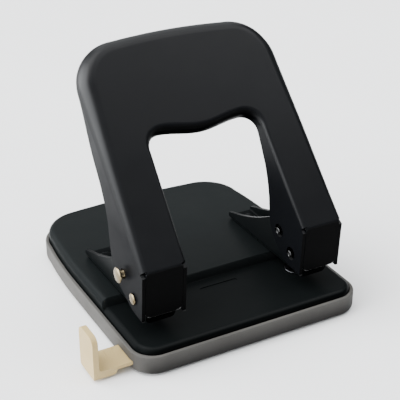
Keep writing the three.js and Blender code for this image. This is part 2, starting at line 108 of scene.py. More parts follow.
def arc(cx, cy, radius, start, end, steps):
    """Points on an arc, angles in degrees."""
    turns = [math.radians(lerp(start, end, i / steps)) for i in range(steps + 1)]
    return [(cx + radius * math.cos(turn), cy + radius * math.sin(turn)) for turn in turns]


def curve(a, b, c, steps):
    """Points of the quadratic curve from a to c that is pulled towards b, without a itself."""
    points = []
    for i in range(1, steps + 1):
        t = i / steps
        points.append(tuple((1 - t) ** 2 * a[k] + 2 * t * (1 - t) * b[k] + t * t * c[k] for k in (0, 1)))
    return points


def quarter_round(steps):
    """1 - cosine and 1 - sine of the angles from 0 to 90 degrees."""
    turns = [0.5 * PI * i / steps for i in range(steps + 1)]
    return [(1 - math.cos(turn), 1 - math.sin(turn)) for turn in turns]


def dome(radius, base, height, steps):
    """(radius, z) from the rim of a dome to its top on the axis."""
    turns = [0.5 * PI * i / steps for i in range(steps)]
    side = [(radius * math.cos(turn), base + height * math.sin(turn)) for turn in turns]
    return side + [(0, base + height)]


def curve_value(table, x):
    """Piecewise-linear lookup in a table of (x, value) pairs sorted by x."""
    if x <= table[0][0]:
        return table[0][1]
    for (x0, v0), (x1, v1) in zip(table, table[1:]):
        if x <= x1:
            return lerp(v0, v1, (x - x0) / (x1 - x0))
    return table[-1][1]


def smooth_value(table, x, reach):
    """The same lookup, averaged over a window so that its corners are round."""
    steps = 8
    values = [curve_value(table, x + reach * (2 * i / steps - 1)) for i in range(steps + 1)]
    return sum(values) / len(values)


# ---------------------------------------------------------------- meshes
def new_object(name, vertices, faces):
    mesh = bpy.data.meshes.new(name)
    mesh.from_pydata([Vector(v) * MM for v in vertices], [], faces)
    mesh.update()
    obj = bpy.data.objects.new(name, mesh)
    bpy.context.scene.collection.objects.link(obj)
    return obj


def closed_object(name, vertices, faces):
    """A closed mesh whose normals point outward."""
    obj = new_object(name, vertices, faces)
    bm = bmesh.new()
    bm.from_mesh(obj.data)
    bmesh.ops.recalc_face_normals(bm, faces=bm.faces)
    bm.to_mesh(obj.data)
    bm.free()
    return obj


def face_outward(bm, outward):
    """Makes an open mesh's normals agree, with the largest face's normal along the given direction."""
    bmesh.ops.recalc_face_normals(bm, faces=bm.faces)
    largest = max(bm.faces, key=lambda face: face.calc_area())
    if largest.normal.dot(Vector(outward)) < 0:
        bmesh.ops.reverse_faces(bm, faces=bm.faces)


def bake(obj):
    """Applies the object's modifiers to its mesh."""
    bpy.context.view_layer.update()
    evaluated = obj.evaluated_get(bpy.context.evaluated_depsgraph_get())
    mesh = bpy.data.meshes.new_from_object(evaluated)
    obj.modifiers.clear()
    obj.data = mesh
    return obj


def boolean(obj, tools, operation="DIFFERENCE"):
    for tool in tools:
        modifier = obj.modifiers.new("boolean", "BOOLEAN")
        modifier.operation = operation
        modifier.solver = "EXACT"
        modifier.object = tool
    bake(obj)
    for tool in tools:
        bpy.data.objects.remove(tool)
    return obj


def thicken(obj, thickness, quality_normals=False):
    """Gives a surface its sheet thickness, inward from the normals."""
    modifier = obj.modifiers.new("sheet", "SOLIDIFY")
    modifier.thickness = thickness * MM
    modifier.offset = -1
    modifier.use_even_offset = True
    modifier.use_quality_normals = quality_normals
    return bake(obj)


def soften(obj, width, angle, segments=2):
    """Rounds every edge sharper than the angle."""
    modifier = obj.modifiers.new("soften", "BEVEL")
    modifier.width = width * MM
    modifier.segments = segments
    modifier.limit_method = "ANGLE"
    modifier.angle_limit = math.radians(angle)
    modifier.use_clamp_overlap = True
    modifier.miter_outer = "MITER_ARC"
    return bake(obj)


def prism(name, outline, axis, low, high):
    """A closed outline swept along X, Y or Z. The outline's two numbers are the other two axes in order."""
    swept = "XYZ".index(axis)
    count = len(outline)
    vertices = [(*p[:swept], depth, *p[swept:]) for depth in (low, high) for p in outline]
    faces = [tuple(range(count)), tuple(range(2 * count - 1, count - 1, -1))]
    faces += [(i, (i + 1) % count, (i + 1) % count + count, i + count) for i in range(count)]
    return closed_object(name, vertices, faces)


def block(name, low, high):
    outline = [(low[0], low[1]), (high[0], low[1]), (high[0], high[1]), (low[0], high[1])]
    return prism(name, outline, "Z", low[2], high[2])


def rod(name, axis, radius, low, high, centre, segments=40):
    """A cylinder along X, Y or Z. The centre's two numbers are the other two axes in order."""
    return prism(name, arc(*centre, radius, 0, 360, segments)[:-1], axis, low, high)


def lathe(name, profile, segments=48):
    """A body of revolution about Z. The (radius, z) points run from axis to axis, or close on themselves."""
    closed = profile[0] == profile[-1]
    vertices, rings = [], []
    for radius, z in profile[:-1] if closed else profile:
        if radius == 0:
            rings.append([len(vertices)])
            vertices.append((0, 0, z))
        else:
            rings.append(list(range(len(vertices), len(vertices) + segments)))
            turns = [2 * PI * i / segments for i in range(segments)]
            vertices += [(radius * math.cos(turn), radius * math.sin(turn), z) for turn in turns]
    faces = []
    for a, b in list(zip(rings, rings[1:])) + ([(rings[-1], rings[0])] if closed else []):
        for i in range(segments):
            j = (i + 1) % segments
            if len(a) == 1:
                faces.append((a[0], b[i], b[j]))
            elif len(b) == 1:
                faces.append((a[i], a[j], b[0]))
            else:
                faces.append((a[i], a[j], b[j], b[i]))
    return closed_object(name, vertices, faces)


def loft(name, rings, closed_start=True):
    """Joins rings of points, all of one length, and closes the last ring and, by default, the first."""
    count = len(rings[0])
    last = (len(rings) - 1) * count
    faces = []
    for base in range(0, last, count):
        for i in range(count):
            beside = (i + 1) % count
            faces.append((base + i, base + beside, base + beside + count, base + i + count))
    if closed_start:
        faces.append(tuple(range(count - 1, -1, -1)))
    faces.append(tuple(range(last, last + count)))
    return closed_object(name, [v for ring in rings for v in ring], faces)


def place(obj, position, turn=Matrix.Identity(4)):
    obj.data.transform(Matrix.Translation(Vector(position) * MM) @ turn)
    return obj


def shade(obj):
    """Smooth shading, with sharp edges left crisp and large flats kept flat."""
    sharp_angle = 32
    obj.data.shade_smooth()
    obj.data.set_sharp_from_angle(angle=math.radians(sharp_angle))
    modifier = obj.modifiers.new("normals", "WEIGHTED_NORMAL")
    modifier.keep_sharp = True
    modifier.weight = 80


def finish_piece(obj, slot, body, node):
    """Shades a piece, gives it its slot's material, hangs it under its body's empty and hides the CAD node
    that it stands for.
    """
    shade(obj)
    obj.data.materials.clear()
    obj.data.materials.append(materials[slot])
    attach(obj, body)
    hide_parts(node)


# ---------------------------------------------------------------- materials
LEFT_SIDE = (-1, 0, 0)                   # directions that the masks below look along
RIGHT_SIDE = (1, 0, 0)
TOP_EDGE = (0, -0.05, 1)
LEFT_BEND = (-0.819, -0.427, 0.383)      # the bends between the handle's left sides and its face
FLAP_FRONT = (0, -0.85, -0.53)
FLAP_EDGE = (0.15, -0.70, -0.70)         # the lower edges of the legs' flaps
PLATE_FACE = (0, -0.98, 0.20)
TRAY_FACE = (0.2, -0.98, 0)

# painted highlight: the lighter colour of the handle's up-facing top edges
TOP_EDGE_HIGHLIGHT = (0.018, 0.0185, 0.019)
# painted highlight colour of the flaps' lower edges
EDGE_HIGHLIGHT_GREY = (0.18, 0.18, 0.18)
# dark grey of the pins' tails: partly their own grey metal, partly painted shade
TAIL_GREY_AND_SHADE = (0.05, 0.05, 0.05)
# gloss left on the faces with painted shade
SHADE_SPECULAR = 0.015
SUBSURFACE_RADIUS = (0.004, 0.003, 0.0018)

materials = {}               # by slot


def scaled(colour, part):
    return tuple(c * part for c in colour)


class Nodes:
    """Adds and links the shader nodes of a material or of the world."""

    MIX_SOCKETS = {"FLOAT": (2, 3, 0), "RGBA": (6, 7, 2)}     # a Mix node's inputs A and B, and its output

    def __init__(self, owner, shader):
        owner.use_nodes = True
        self.owner = owner
        self.tree = owner.node_tree
        self.shader = self.tree.nodes[shader]
        self.coordinates = self.add("ShaderNodeTexCoord").outputs

    def feed(self, value, target):
        """Links an output to an input, or sets the input to a number, a vector or a colour."""
        if isinstance(value, bpy.types.NodeSocket):
            self.tree.links.new(value, target)
        elif target.type == "RGBA":
            target.default_value = (*value, 1)
        else:
            target.default_value = value

    def fill(self, node, values):
        for name, value in values.items():
            self.feed(value, node.inputs[name.replace("_", " ")])
        return node

    def add(self, kind, **values):
        return self.fill(self.tree.nodes.new(kind), values)

    def set(self, **values):
        """Feeds the inputs of the shader itself."""
        self.fill(self.shader, values)

    def noise(self, scale, detail, roughness=0.5, distortion=0.0, stretch=None):
        source = self.coordinates["Object"]
        if stretch:
            source = self.add("ShaderNodeMapping", Scale=stretch, Vector=source).outputs["Vector"]
        node = self.add("ShaderNodeTexNoise", Vector=source, Scale=scale, Detail=detail,
                        Roughness=roughness, Distortion=distortion)
        return node.outputs["Fac"]

    def spread(self, value, low, high, out_low, out_high, shape="LINEAR"):
        """Maps a value from one range to another and clamps it there."""
        node = self.add("ShaderNodeMapRange", Value=value, From_Min=low, From_Max=high,
                        To_Min=out_low, To_Max=out_high)
        node.interpolation_type = shape
        return node.outputs["Result"]

    def facing(self, direction, low, high, most=1.0, vector="Normal"):
        """A smooth mask: 0 up to the low dot product of vector and direction, most from the high one."""
        dot = self.add("ShaderNodeVectorMath")
        dot.operation = "DOT_PRODUCT"
        self.feed(self.coordinates[vector], dot.inputs[0])
        self.feed(direction, dot.inputs[1])
        return self.spread(dot.outputs["Value"], low, high, 0.0, most, "SMOOTHSTEP")

    def along(self, axis):
        return self.add("ShaderNodeSeparateXYZ", Vector=self.coordinates["Object"]).outputs[axis]

    def height(self, low, high, out_low, out_high):
        """A ramp over the height in millimetres."""
        return self.spread(self.along("Z"), low * MM, high * MM, out_low, out_high)

    def math(self, operation, first, second):
        node = self.add("ShaderNodeMath")
        node.operation = operation
        self.feed(first, node.inputs[0])
        self.feed(second, node.inputs[1])
        return node.outputs["Value"]

    def mix(self, factor, first, second, kind="FLOAT"):
        node = self.add("ShaderNodeMix")
        node.data_type = kind
        a, b, result = self.MIX_SOCKETS[kind]
        self.feed(factor, node.inputs["Factor"])
        self.feed(first, node.inputs[a])
        self.feed(second, node.inputs[b])
        return node.outputs[result]

    def blend(self, factor, first, second):
        """Mixes two colours."""
        return self.mix(factor, first, second, "RGBA")

    def bump(self, *layers):
        """layers: (height output, strength, distance in mm), from coarse to fine."""
        normal = None
        for height, strength, distance in layers:
            node = self.add("ShaderNodeBump", Height=height, Strength=strength, Distance=distance * MM)
            if normal is not None:
                self.feed(normal, node.inputs["Normal"])
            normal = node.outputs["Normal"]
        self.set(Normal=normal)


def new_material(slot):
    n = Nodes(bpy.data.materials.new(slot), "Principled BSDF")
    materials[slot] = n.owner
    return n


def satin_paint(slot, dark, light, roughness, specular, low_shade, front=(FLAP_FRONT, 0.42, 0.86), reach=None,
                side=None, roll=None, edge_highlight=None):
    """Stove paint on steel: cloudy tone, uneven gloss, orange peel and a very fine grain.
    Painted shade: the upright faces that look forward and to the right get a darker colour and less gloss.
    low_shade: painted shade towards the bottom: low and high height in mm, the part of the gloss left and of
    the colour lost at the low one.
    front: the mask of the forward faces that get the painted shade, reach: a ramp over the height that scales
    it.
    side, roll: low and high height and the speculars there, for the faces that look left (side
    ends with the range of their mask) and for the bends between them and the front: a painted
    sheen that grows with height. Paint with bends also gets a painted highlight, a lighter colour,
    on its up-facing top edges.
    edge_highlight: below the ramp of these heights the lower edges get a painted highlight, a light grey
    line."""
    n = new_material(slot)
    low, high, gloss_left, colour_lost = low_shade
    # painted shade on the faces that look forward and to the right
    front_shade = n.facing(*front)
    if reach:
        front_shade = n.math("MULTIPLY", front_shade, n.height(*reach))
    front_shade = n.math("MAXIMUM", front_shade, n.facing(RIGHT_SIDE, 0.45, 0.80))

    # painted shade: less gloss towards the bottom
    gloss = n.height(low, high, gloss_left * specular, specular)
    # painted sheen on the faces that look left, growing with height
    if side:
        gloss = n.mix(n.facing(LEFT_SIDE, *side[4:]), gloss, n.height(*side[:4]))
    # painted highlight on the bends between the left sides and the face, growing with height
    if roll:
        gloss = n.mix(n.facing(LEFT_BEND, 0.84, 0.97), gloss, n.height(*roll))

    clouds = n.spread(n.noise(26, 4, 0.55), 0.3, 0.7, 0.0, 1.0)
    specks = n.spread(n.noise(900, 2, 0.7), 0.62, 0.78, 0.0, 0.35)
    colour = n.blend(clouds, dark, light)
    colour = n.blend(specks, colour, tuple(c * 1.9 + 0.001 for c in light))
    # painted shade: the colour darkens towards the bottom
    colour = n.blend(n.height(low, high, colour_lost, 0.0), colour, scaled(dark, 0.25))
    if roll:
        # painted highlight: a lighter colour on the up-facing top edges
        colour = n.blend(n.facing(TOP_EDGE, 0.86, 1.0), colour, TOP_EDGE_HIGHLIGHT)
    # painted shade: a darker colour on the faces that look forward and to the right
    colour = n.blend(front_shade, colour, scaled(dark, 0.15))
    if edge_highlight:
        # painted highlight along the flaps' lower edges
        edge = n.math("MULTIPLY", n.facing(FLAP_EDGE, 0.745, 0.94), n.height(*edge_highlight, 1.0, 0.0))
        colour = n.blend(edge, colour, EDGE_HIGHLIGHT_GREY)

    n.set(Base_Color=colour, Specular_IOR_Level=n.mix(front_shade, gloss, SHADE_SPECULAR),
          Roughness=n.spread(n.noise(60, 4, 0.6), 0.3, 0.7, roughness - 0.05, roughness + 0.05))
    orange_peel, grain = n.noise(420, 2, 0.5), n.noise(2600, 2, 0.6)
    n.bump((orange_peel, 0.06, 0.08), (grain, 0.10, 0.03))


def moulded_plastic(slot, dark, light, roughness, specular, subsurface=0.0, foot=None):
    """Eroded-mould plastic: fine matt grain, slight flow clouds and a few shiny rubs.
    With foot, painted shade darkens the front wall from that height down to the table."""
    n = new_material(slot)
    clouds = n.spread(n.noise(34, 5, 0.6, 0.4), 0.32, 0.68, 0.0, 1.0)
    grain = n.noise(1500, 3, 0.65)
    colour = n.blend(clouds, dark, light)
    colour = n.blend(n.spread(grain, 0.35, 0.55, 0.35, 0.0), colour, scaled(dark, 0.86))
    if foot:
        # painted shade on the front wall, darker towards its foot
        low = n.math("MULTIPLY", n.facing(TRAY_FACE, 0.25, 0.9), n.height(1.5, foot, 1.0, 0.0))
        colour = n.blend(low, colour, scaled(dark, 0.12))
    n.set(Base_Color=colour, Specular_IOR_Level=specular,
          Roughness=n.spread(n.noise(80, 3, 0.6), 0.3, 0.7, roughness - 0.06, roughness + 0.06))
    waves = n.noise(90, 2, 0.4)
    n.bump((waves, 0.05, 0.1), (grain, 0.28, 0.05))
    if subsurface:
        n.set(Subsurface_Weight=subsurface, Subsurface_Radius=SUBSURFACE_RADIUS)


def plain_metal(slot, dark, light, roughness, lines=None, inner=None):
    """Bare or plated metal with fine scratches and a slight tarnish.
    lines: how the scratches are scaled along X, Y and Z, which turns them into turning lines.
    inner: everything nearer to the middle plane than that, in mm, is dark grey: partly the pin tails' own
    grey metal, partly painted shade."""
    n = new_material(slot)
    stains = n.spread(n.noise(160, 4, 0.6), 0.35, 0.7, 0.0, 1.0)
    colour = n.blend(stains, light, dark)
    if inner:
        # pin tails near the middle plane: dark grey, partly their own metal and partly painted shade
        away = n.math("MULTIPLY", n.along("X"), n.along("X"))
        near = n.spread(away, (inner * MM) ** 2, ((inner + 2) * MM) ** 2, 1.0, 0.0)
        colour = n.blend(near, colour, TAIL_GREY_AND_SHADE)
    n.set(Base_Color=colour, Metallic=1.0,
          Roughness=n.spread(n.noise(420, 3, 0.6), 0.3, 0.7, roughness - 0.07, roughness + 0.1))
    scratches = n.noise(700, 3, 0.6, stretch=lines)
    n.bump((scratches, 0.12, 0.04))


satin_paint(
    "handle_paint", (0.0025, 0.0027, 0.0033), (0.0031, 0.0034, 0.0041), roughness=0.33, specular=0.115,
    low_shade=(40, 92, 0.92, 0.0), side=(55, 100, 0.013, 0.060, 0.86, 0.99), roll=(30, 110, 0.05, 0.28),
    edge_highlight=(22.7, 23.4))
satin_paint(
    "base_paint", (0.0052, 0.0064, 0.0066), (0.0060, 0.0074, 0.0076), roughness=0.36, specular=0.072,
    low_shade=(8.5, 16, 0.15, 0.95), side=(8.5, 16, 0.008, 0.014, 0.25, 0.80),
    front=(PLATE_FACE, 0.60, 0.97), reach=(11.0, 12.6, 0.85, 0.0))
satin_paint(
    "bracket_paint", (0.0024, 0.0030, 0.0032), (0.0030, 0.0037, 0.0039), roughness=0.40, specular=0.055,
    low_shade=(18, 36, 0.35, 0.1))
moulded_plastic(
    "tray_plastic", (0.062, 0.059, 0.055), (0.077, 0.074, 0.069), roughness=0.62, specular=0.15, foot=10.5)
moulded_plastic(
    "guide_plastic", (0.41, 0.305, 0.135), (0.49, 0.37, 0.18), roughness=0.5, specular=0.25, subsurface=0.08)
plain_metal("pin_brass", (0.12, 0.09, 0.05), (0.25, 0.205, 0.13), roughness=0.20, inner=31)
plain_metal("spring_steel", (0.10, 0.10, 0.105), (0.20, 0.20, 0.21), roughness=0.34)
plain_metal("tool_steel", (0.035, 0.036, 0.038), (0.07, 0.07, 0.075), roughness=0.34, lines=(1, 1, 12))


# ---------------------------------------------------------------- handle
ALONG = (math.cos(FACE_ANGLE), math.sin(FACE_ANGLE))        # y, z up the face
INWARD = (math.sin(FACE_ANGLE), -math.cos(FACE_ANGLE))      # y, z behind it

# s is the distance up the face from the knee. A table gives a value at each s.
FACE_TOP = 108.0
FACE_CROWN = 1.2             # the top edge is this much higher in its middle
FACE_CORNER = 21.5
KNEE_START = 1.1             # the face ends and the knee bend starts here
WINDOW_TOP = 58.3
WINDOW_WAVE = 1.3
WINDOW_CORNER = 8.0
WAVE_HALF = 21.6             # from the middle of the wave to its crest
OUTER_BEND = [(0, 2.6), (12, 3.4), (25, 3.9), (50, 4.8), (80, 6.8), (95, 7.4), (108, 6.4)]
OUTER_DEPTH = [(0, 28.4), (4, 29.8), (9, 30.4), (13.4, 29.7), (16.4, 28.4), (20.6, 26.2), (24.5, 23.5),
               (28.5, 20.7), (35, 17.7), (40, 16.4), (45, 15.2), (51, 14.4), (56, 14.0), (62, 13.1),
               (70, 11.2), (75, 9.9), (80, 8.7), (85, 8.0), (92, 7.7), (120, 7.7)]
INNER_DEPTH = [(0, 28.0), (4, 28.2), (8, 27.9), (12, 26.8), (14.5, 24.7), (18, 22.3), (23, 18.4),
               (29.5, 14.5), (36, 11.5), (43, 9.4), (50, 7.4), (56, 6.4), (60, 6.2), (80, 6.2)]
DEPTH_WINDOW = 2.0           # the depths are averaged over this reach
PLAIN_DEPTH = 4.0            # but not this near to the knee
# s and depth of the flanges' rear edges below the knee
OUTER_LOW = [(0, 28.4), (-6.6, 25.7), (-9.6, 24.2), (-12.2, 22.2), (-17.3, 17.4)]
INNER_LOW = [(0, 28.0), (-6.0, 26.4), (-9.6, 24.6), (-12.4, 22.2), (-17.5, 17.4)]
BEND_ROWS = 8                # rows of faces round the rolled edges
FLANGE_ROWS = 7              # from there to the flanges' rear edges
FOOT_ROWS = 12               # and from the knee down to the tip
FLANGE_BACK = 0.15           # the flanges' front edges sit this far behind the flaps
KNEE_RADIUS = 2.4
FLAP_COLUMNS = 14
FLAP_SHORT = 1.3             # the flaps end this far above the flanges
FLAP_CORNER = 2.4
FLAP_TOP_HALF = LEG_HALF - 2.5
FLAP_HALF = LEG_HALF - SHEET - 0.2
OUTER_HOLE = PIN + 0.35
INNER_HOLE = PIN + 1.1       # wide round the pins' tails


def face_point(x, s, h):
    """x across, s up the face from the knee, h behind it."""
    return (x, KNEE[0] + s * ALONG[0] + h * INWARD[0], KNEE[1] + s * ALONG[1] + h * INWARD[1])


def outer_half(s):
    return LEG_MIDDLE + LEG_HALF - 0.011 * s


def window_half(s):
    return LEG_MIDDLE - LEG_HALF - 0.021 * s


def outer_bend(s):
    return curve_value(OUTER_BEND, s)


def window_bend(s):
    return lerp(1.9, 3.7, smooth((s - 50) / 9))


def down_to_knee(half, start, steps):
    """(x, s) down a leg's edge, which is half(s) from the middle plane."""
    heights = [lerp(start, KNEE_START, i / steps) for i in range(1, steps + 1)]
    return [(half(s), s) for s in heights]


def mirrored(path):
    return [(-x, s) for x, s in reversed(path[1:])] + path


def outer_path():
    """(x, s) along the handle's outer edge, from the left knee over the top to the right one."""
    shoulder = FACE_TOP - FACE_CROWN - FACE_CORNER
    corner_x = outer_half(shoulder) - FACE_CORNER
    across = [i / 12 for i in range(12)]
    right = [(corner_x * t, FACE_TOP - FACE_CROWN * t ** 2) for t in across]
    right += arc(corner_x, shoulder, FACE_CORNER, 90, 0.6, 18)
    right += down_to_knee(outer_half, shoulder, 44)
    return mirrored(right)


def window_path():
    """(x, s) along the window's edge, from the left knee over its wavy top to the right one."""
    shoulder = WINDOW_TOP + WINDOW_WAVE - WINDOW_CORNER
    corner_x = window_half(shoulder) - WINDOW_CORNER
    wave_steps = 16
    wave = [WAVE_HALF * i / wave_steps for i in range(wave_steps)]
    right = [(x, WINDOW_TOP - WINDOW_WAVE * math.cos(PI * x / WAVE_HALF)) for x in wave]
    right += arc(corner_x, shoulder, WINDOW_CORNER, 90, 0, 12)
    right += down_to_knee(window_half, shoulder, 30)
    return mirrored(right)


def edge_normals(path, outward):
    """Unit normals of an open path, on its left side if outward is 1 and on its right side if -1."""
    normals = []
    for i in range(len(path)):
        a = Vector(path[max(i - 1, 0)])
        b = Vector(path[min(i + 1, len(path) - 1)])
        direction = (b - a).normalized()
        normals.append((-direction.y * outward, direction.x * outward))
    return normals


class Surface:
    """Vertices and faces that are gathered row by row."""

    def __init__(self):
        self.vertices, self.faces = [], []

    def add(self, point):
        self.vertices.append(point)
        return len(self.vertices) - 1

    def join(self, first, second, flip):
        """Quads between two rows of vertices."""
        for k in range(len(first) - 1):
            quad = (first[k], first[k + 1], second[k + 1], second[k])
            self.faces.append(quad if flip else quad[::-1])


def edge_strip(surface, path, outward, bend, depth, low, flip):
    """The rolled edge and the flange along one path. Returns the row where the flat face starts."""
    columns = []
    for (x, s), (nx, ns) in zip(path, edge_normals(path, outward)):
        radius = bend(s)
        column = []
        for behind, inset in quarter_round(BEND_ROWS):
            inset *= radius
            column.append(surface.add(face_point(x - nx * inset, s - ns * inset, radius * behind)))
        end = smooth_value(depth, s, DEPTH_WINDOW) if s > PLAIN_DEPTH else curve_value(depth, s)
        end = max(end, radius + 0.5)
        for k in range(1, FLANGE_ROWS + 1):
            column.append(surface.add(face_point(x, s, lerp(radius, end, k / FLANGE_ROWS))))
        columns.append(column)
    for a, b in zip(columns, columns[1:]):
        surface.join(a, b, flip)
    for end, foot_flip in ((0, not flip), (-1, flip)):
        flange_foot(surface, path[end][0], columns[end][BEND_ROWS:], depth, low, foot_flip)
    return [column[0] for column in columns]


def flange_foot(surface, x, previous, depth, low, flip):
    """Below the knee the flange is flat and ends at its own front edge."""
    rear_edge = [(KNEE_START, curve_value(depth, KNEE_START))] + low
    for i in range(1, FOOT_ROWS + 1):
        t = i / FOOT_ROWS
        position = t * (len(rear_edge) - 1)
        index = min(int(position), len(rear_edge) - 2)
        s, h = (lerp(a, b, position - index) for a, b in zip(rear_edge[index], rear_edge[index + 1]))
        front = Vector((x, lerp(KNEE[0], TIP[0], t) + FLANGE_BACK, lerp(KNEE[1], TIP[1], t)))
        rear = Vector(face_point(x, s, h))
        row = [surface.add(tuple(front.lerp(rear, k / FLANGE_ROWS))) for k in range(FLANGE_ROWS + 1)]
        surface.join(previous, row, flip)
        previous = row


def flap_rows():
    """y, z and half width of a flap's rows, from the bend under the face to the rounded lower edge."""
    fall = math.atan2(TIP[1] - KNEE[1], TIP[0] - KNEE[0])
    bend_angle = PI - FACE_ANGLE + fall
    bend_end = KNEE_RADIUS * math.tan(bend_angle / 2)
    centre = face_point(0, bend_end, KNEE_RADIUS)[1:]
    rows = []
    bend_steps = 6
    for i in range(1, bend_steps + 1):
        direction = FACE_ANGLE + 0.5 * PI + bend_angle * i / bend_steps
        rows.append((centre[0] + KNEE_RADIUS * math.cos(direction),
                     centre[1] + KNEE_RADIUS * math.sin(direction),
                     lerp(FLAP_TOP_HALF, FLAP_HALF, smooth(i / bend_steps))))
    corner_start = math.dist(KNEE, TIP) - FLAP_SHORT - FLAP_CORNER
    straight_steps, corner_steps = 7, 8
    distances = [lerp(bend_end, corner_start, i / straight_steps) for i in range(1, straight_steps + 1)]
    distances += [corner_start + FLAP_CORNER * math.sin(0.5 * PI * i / corner_steps)
                  for i in range(1, corner_steps + 1)]
    for distance in distances:
        beyond = max(0.0, distance - corner_start)
        half = FLAP_HALF - FLAP_CORNER + math.sqrt(max(FLAP_CORNER ** 2 - beyond ** 2, 0.0))
        rows.append((KNEE[0] + math.cos(fall) * distance, KNEE[1] + math.sin(fall) * distance, half))
    return rows


def leg_flap(surface, side, ends):
    """The flap that closes a leg's front, rolled down from the face. Returns its row at the face."""
    middle = side * LEG_MIDDLE
    across = [2 * c / FLAP_COLUMNS - 1 for c in range(FLAP_COLUMNS + 1)]
    inner = [surface.add(face_point(middle + FLAP_TOP_HALF * u, KNEE_START, 0)) for u in across[1:-1]]
    first = [ends[0], *inner, ends[1]]
    previous = first
    for y, z, half in flap_rows():
        row = [surface.add((middle + half * u, y, z)) for u in across]
        surface.join(previous, row, False)
        previous = row
    return first


def handle_surface():
    """The handle's outer face, rolled edges, flanges and flaps as one open mesh."""
    surface = Surface()
    outer = edge_strip(surface, outer_path(), 1, outer_bend, OUTER_DEPTH, OUTER_LOW, True)
    window = edge_strip(surface, window_path(), -1, window_bend, INNER_DEPTH, INNER_LOW, False)
    left = leg_flap(surface, -1, (outer[0], window[0]))
    right = leg_flap(surface, 1, (window[-1], outer[-1]))
    face = outer + right[-2:0:-1] + window[::-1] + left[-2:0:-1]
    surface.faces.append(tuple(face[::-1]))
    return surface


def pin_holes():
    """Tools for the pins' holes, from 4 mm inside to 3 mm outside each flange."""
    tools = []
    for side in (-1, 1):
        for point in (FULCRUM, DRIVE):
            for flange, radius in ((1, OUTER_HOLE), (-1, INNER_HOLE)):
                ends = [side * (LEG_MIDDLE + flange * reach) for reach in (LEG_HALF - 4, LEG_HALF + 3)]
                tools.append(rod("hole", "X", radius, min(ends), max(ends), point, 48))
    return tools


def handle_shell():
    surface = handle_surface()
    shell = new_object("handle_shell", surface.vertices, surface.faces)
    bm = bmesh.new()
    bm.from_mesh(shell.data)
    face_outward(bm, (0, -INWARD[0], -INWARD[1]))
    bm.to_mesh(shell.data)
    bm.free()
    thicken(shell, SHEET, quality_normals=True)
    boolean(shell, pin_holes())
    return soften(shell, 0.28, 50)


finish_piece(handle_shell(), "handle_paint", "handle", "handle")


# ---------------------------------------------------------------- base plate
def base_outline(inset):
    """The base's outline in plan, moved in by inset, always with the same number of points."""
    bow = 1.4
    front, rear = PLATE_FRONT + inset, PLATE_REAR - bow - inset
    half = PLATE_HALF - inset
    rear_half = half - 2.4
    front_radius, rear_radius = 9.8 - inset, 19.5 - inset
    side_end = 6.0
    rear_corner = (rear_half - rear_radius, rear)

    right = [(part * half, front) for part in (0.0, 0.25, 0.5, 0.7)]
    right += arc(half - front_radius, front + front_radius, front_radius, -90, 0, 16)
    right += [(half, y) for y in (-44.0, -34.0, -24.0, -14.0, -4.0, side_end)]
    right += curve((half, side_end), (half, side_end + 20), (rear_half, rear - rear_radius), 12)[:-1]
    right += arc(rear_half - rear_radius, rear - rear_radius, rear_radius, 0, 90, 20)
    right += curve(rear_corner, (0, rear + 2 * bow), (-rear_corner[0], rear), 20)[:10]
    left = [(-x, y) for x, y in reversed(right[1:-1])]
    return right + left


def ring(inset, z):
    return [(x, y, z) for x, y in base_outline(inset)]


def press_table(bm):
    """Lowers everything in front of the step, down a smooth slope, and the top of the skirt with it."""
    rows = 12
    for i in range(rows + 1):
        cut = (0, lerp(*STEP_Y, i / rows) * MM, 0)
        everything = bm.verts[:] + bm.edges[:] + bm.faces[:]
        bmesh.ops.bisect_plane(bm, geom=everything, plane_co=cut, plane_no=(0, 1, 0))
    skirt, touch = SKIRT_Z * MM, 1e-6
    for vertex in bm.verts:
        if vertex.co.z > skirt - touch:
            drop = DECK_Z - TABLE_Z if vertex.co.z > skirt + touch else SKIRT_DROP
            t = (vertex.co.y / MM - STEP_Y[0]) / (STEP_Y[1] - STEP_Y[0])
            vertex.co.z -= drop * MM * (1 - smooth(t))


def plate_tools():
    """Tools for the holes of the dies and rivets and for the middle mark."""
    tools = []
    for side in (-1, 1):
        tools.append(rod("hole", "Z", DIE_HOLE, 0, 20, (side * PUNCH_X, PUNCH_Y), 56))
        for y in RIVET_Y.values():
            tools.append(rod("hole", "Z", RIVET_HOLE, 0, 20, (side * PUNCH_X, y), 28))
    half, y, radius, depth = 8.7, -31.2, 1.2, 0.3
    mark = arc(half, y, radius, -90, 90, 8) + arc(-half, y, radius, 90, 270, 8)
    return tools + [prism("mark", mark, "Z", TABLE_Z - depth, 20)]


def base_shell():
    rings = [ring(0, RIM_Z), ring(0, SKIRT_Z)]
    rings += [ring(PLATE_EDGE * a, DECK_Z - PLATE_EDGE * b) for a, b in quarter_round(9)]
    shell = loft("base_shell", rings, closed_start=False)
    bm = bmesh.new()
    bm.from_mesh(shell.data)
    press_table(bm)
    face_outward(bm, (0, 0, 1))
    bm.to_mesh(shell.data)
    bm.free()
    thicken(shell, PLATE_SHEET)
    boolean(shell, plate_tools())
    return soften(shell, 0.16, 60)


finish_piece(base_shell(), "base_paint", "base", "base_plate")


